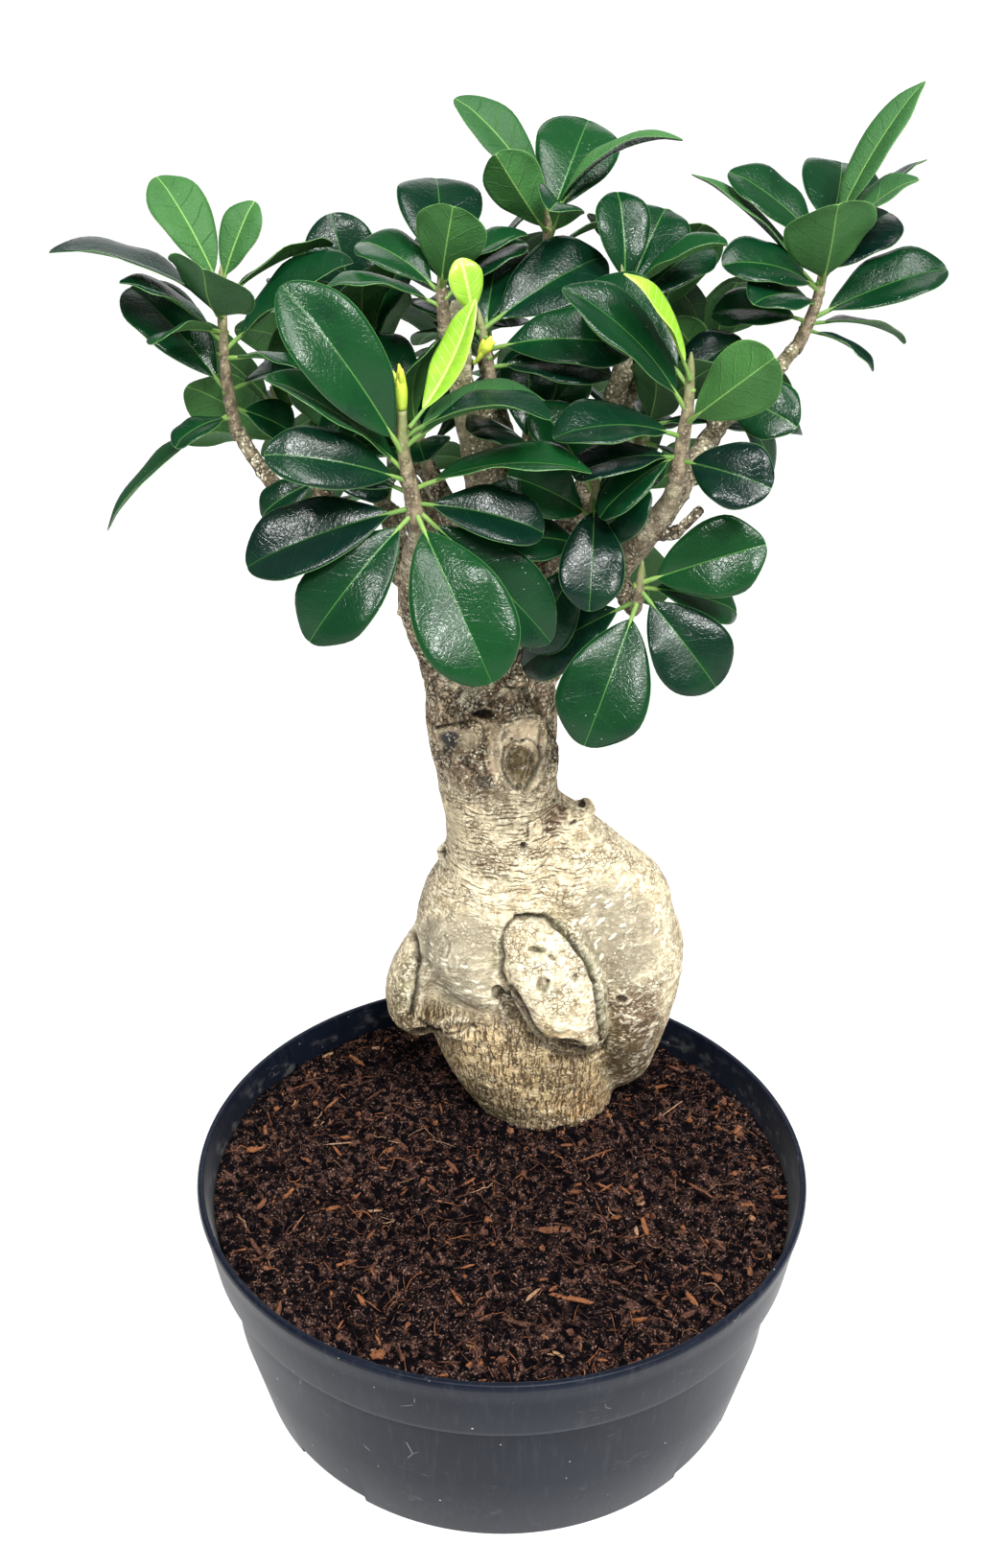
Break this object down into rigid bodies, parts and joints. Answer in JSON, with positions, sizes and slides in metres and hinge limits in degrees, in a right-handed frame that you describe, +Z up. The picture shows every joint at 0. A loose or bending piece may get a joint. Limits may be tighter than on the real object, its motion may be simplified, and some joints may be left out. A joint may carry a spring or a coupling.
{
  "type": "ficus ginseng bonsai",
  "caption": "Ficus ginseng bonsai: swollen, lobed root and scarred trunk under glossy oval leaves, standing in peat in a round plastic bowl pot.",
  "frame": {"origin": "middle of the pot's base, on the floor that it stands on", "axes": "+Z up along the pot's axis, +X to the right and -Y to the front, seen from the side with the scarred front lobe"},
  "size_m": [0.3208, 0.3047, 0.5394],
  "materials": {
    "pot_plastic": "satin",
    "peat": "rough",
    "bark": "rough",
    "leaf": "semi-gloss",
    "young_leaf": "semi-gloss"
  },
  "bodies": {
    "root": {"pot": "pot_plastic", "soil": "peat", "trunk": "bark", "spray_front": "leaf", "spray_left": "leaf", "spray_left_low": "leaf", "spray_centre": "leaf", "spray_crown_left": "leaf", "spray_top": "leaf", "spray_crown_right": "leaf", "spray_right_front": "leaf", "spray_right_top": "leaf", "spray_right_mid": "leaf", "spray_right_back": "leaf", "spray_low_right": "leaf", "spray_inner": "leaf", "spray_left_back": "leaf", "spray_left_mid": "leaf", "spray_mid_left": "leaf", "spray_mid": "leaf", "spray_mid_right": "leaf", "spray_back_left": "leaf", "spray_back": "leaf", "spray_back_right": "leaf", "spray_low_back_left": "leaf", "spray_low_back_right": "leaf", "spray_top_back": "leaf", "spray_top_right": "leaf", "spray_top_left": "leaf", "new_leaf_front": "young_leaf", "new_leaf_right": "young_leaf", "new_leaf_centre": "young_leaf", "bud_front": "young_leaf", "bud_centre": "young_leaf"}
  },
  "joints": []
}
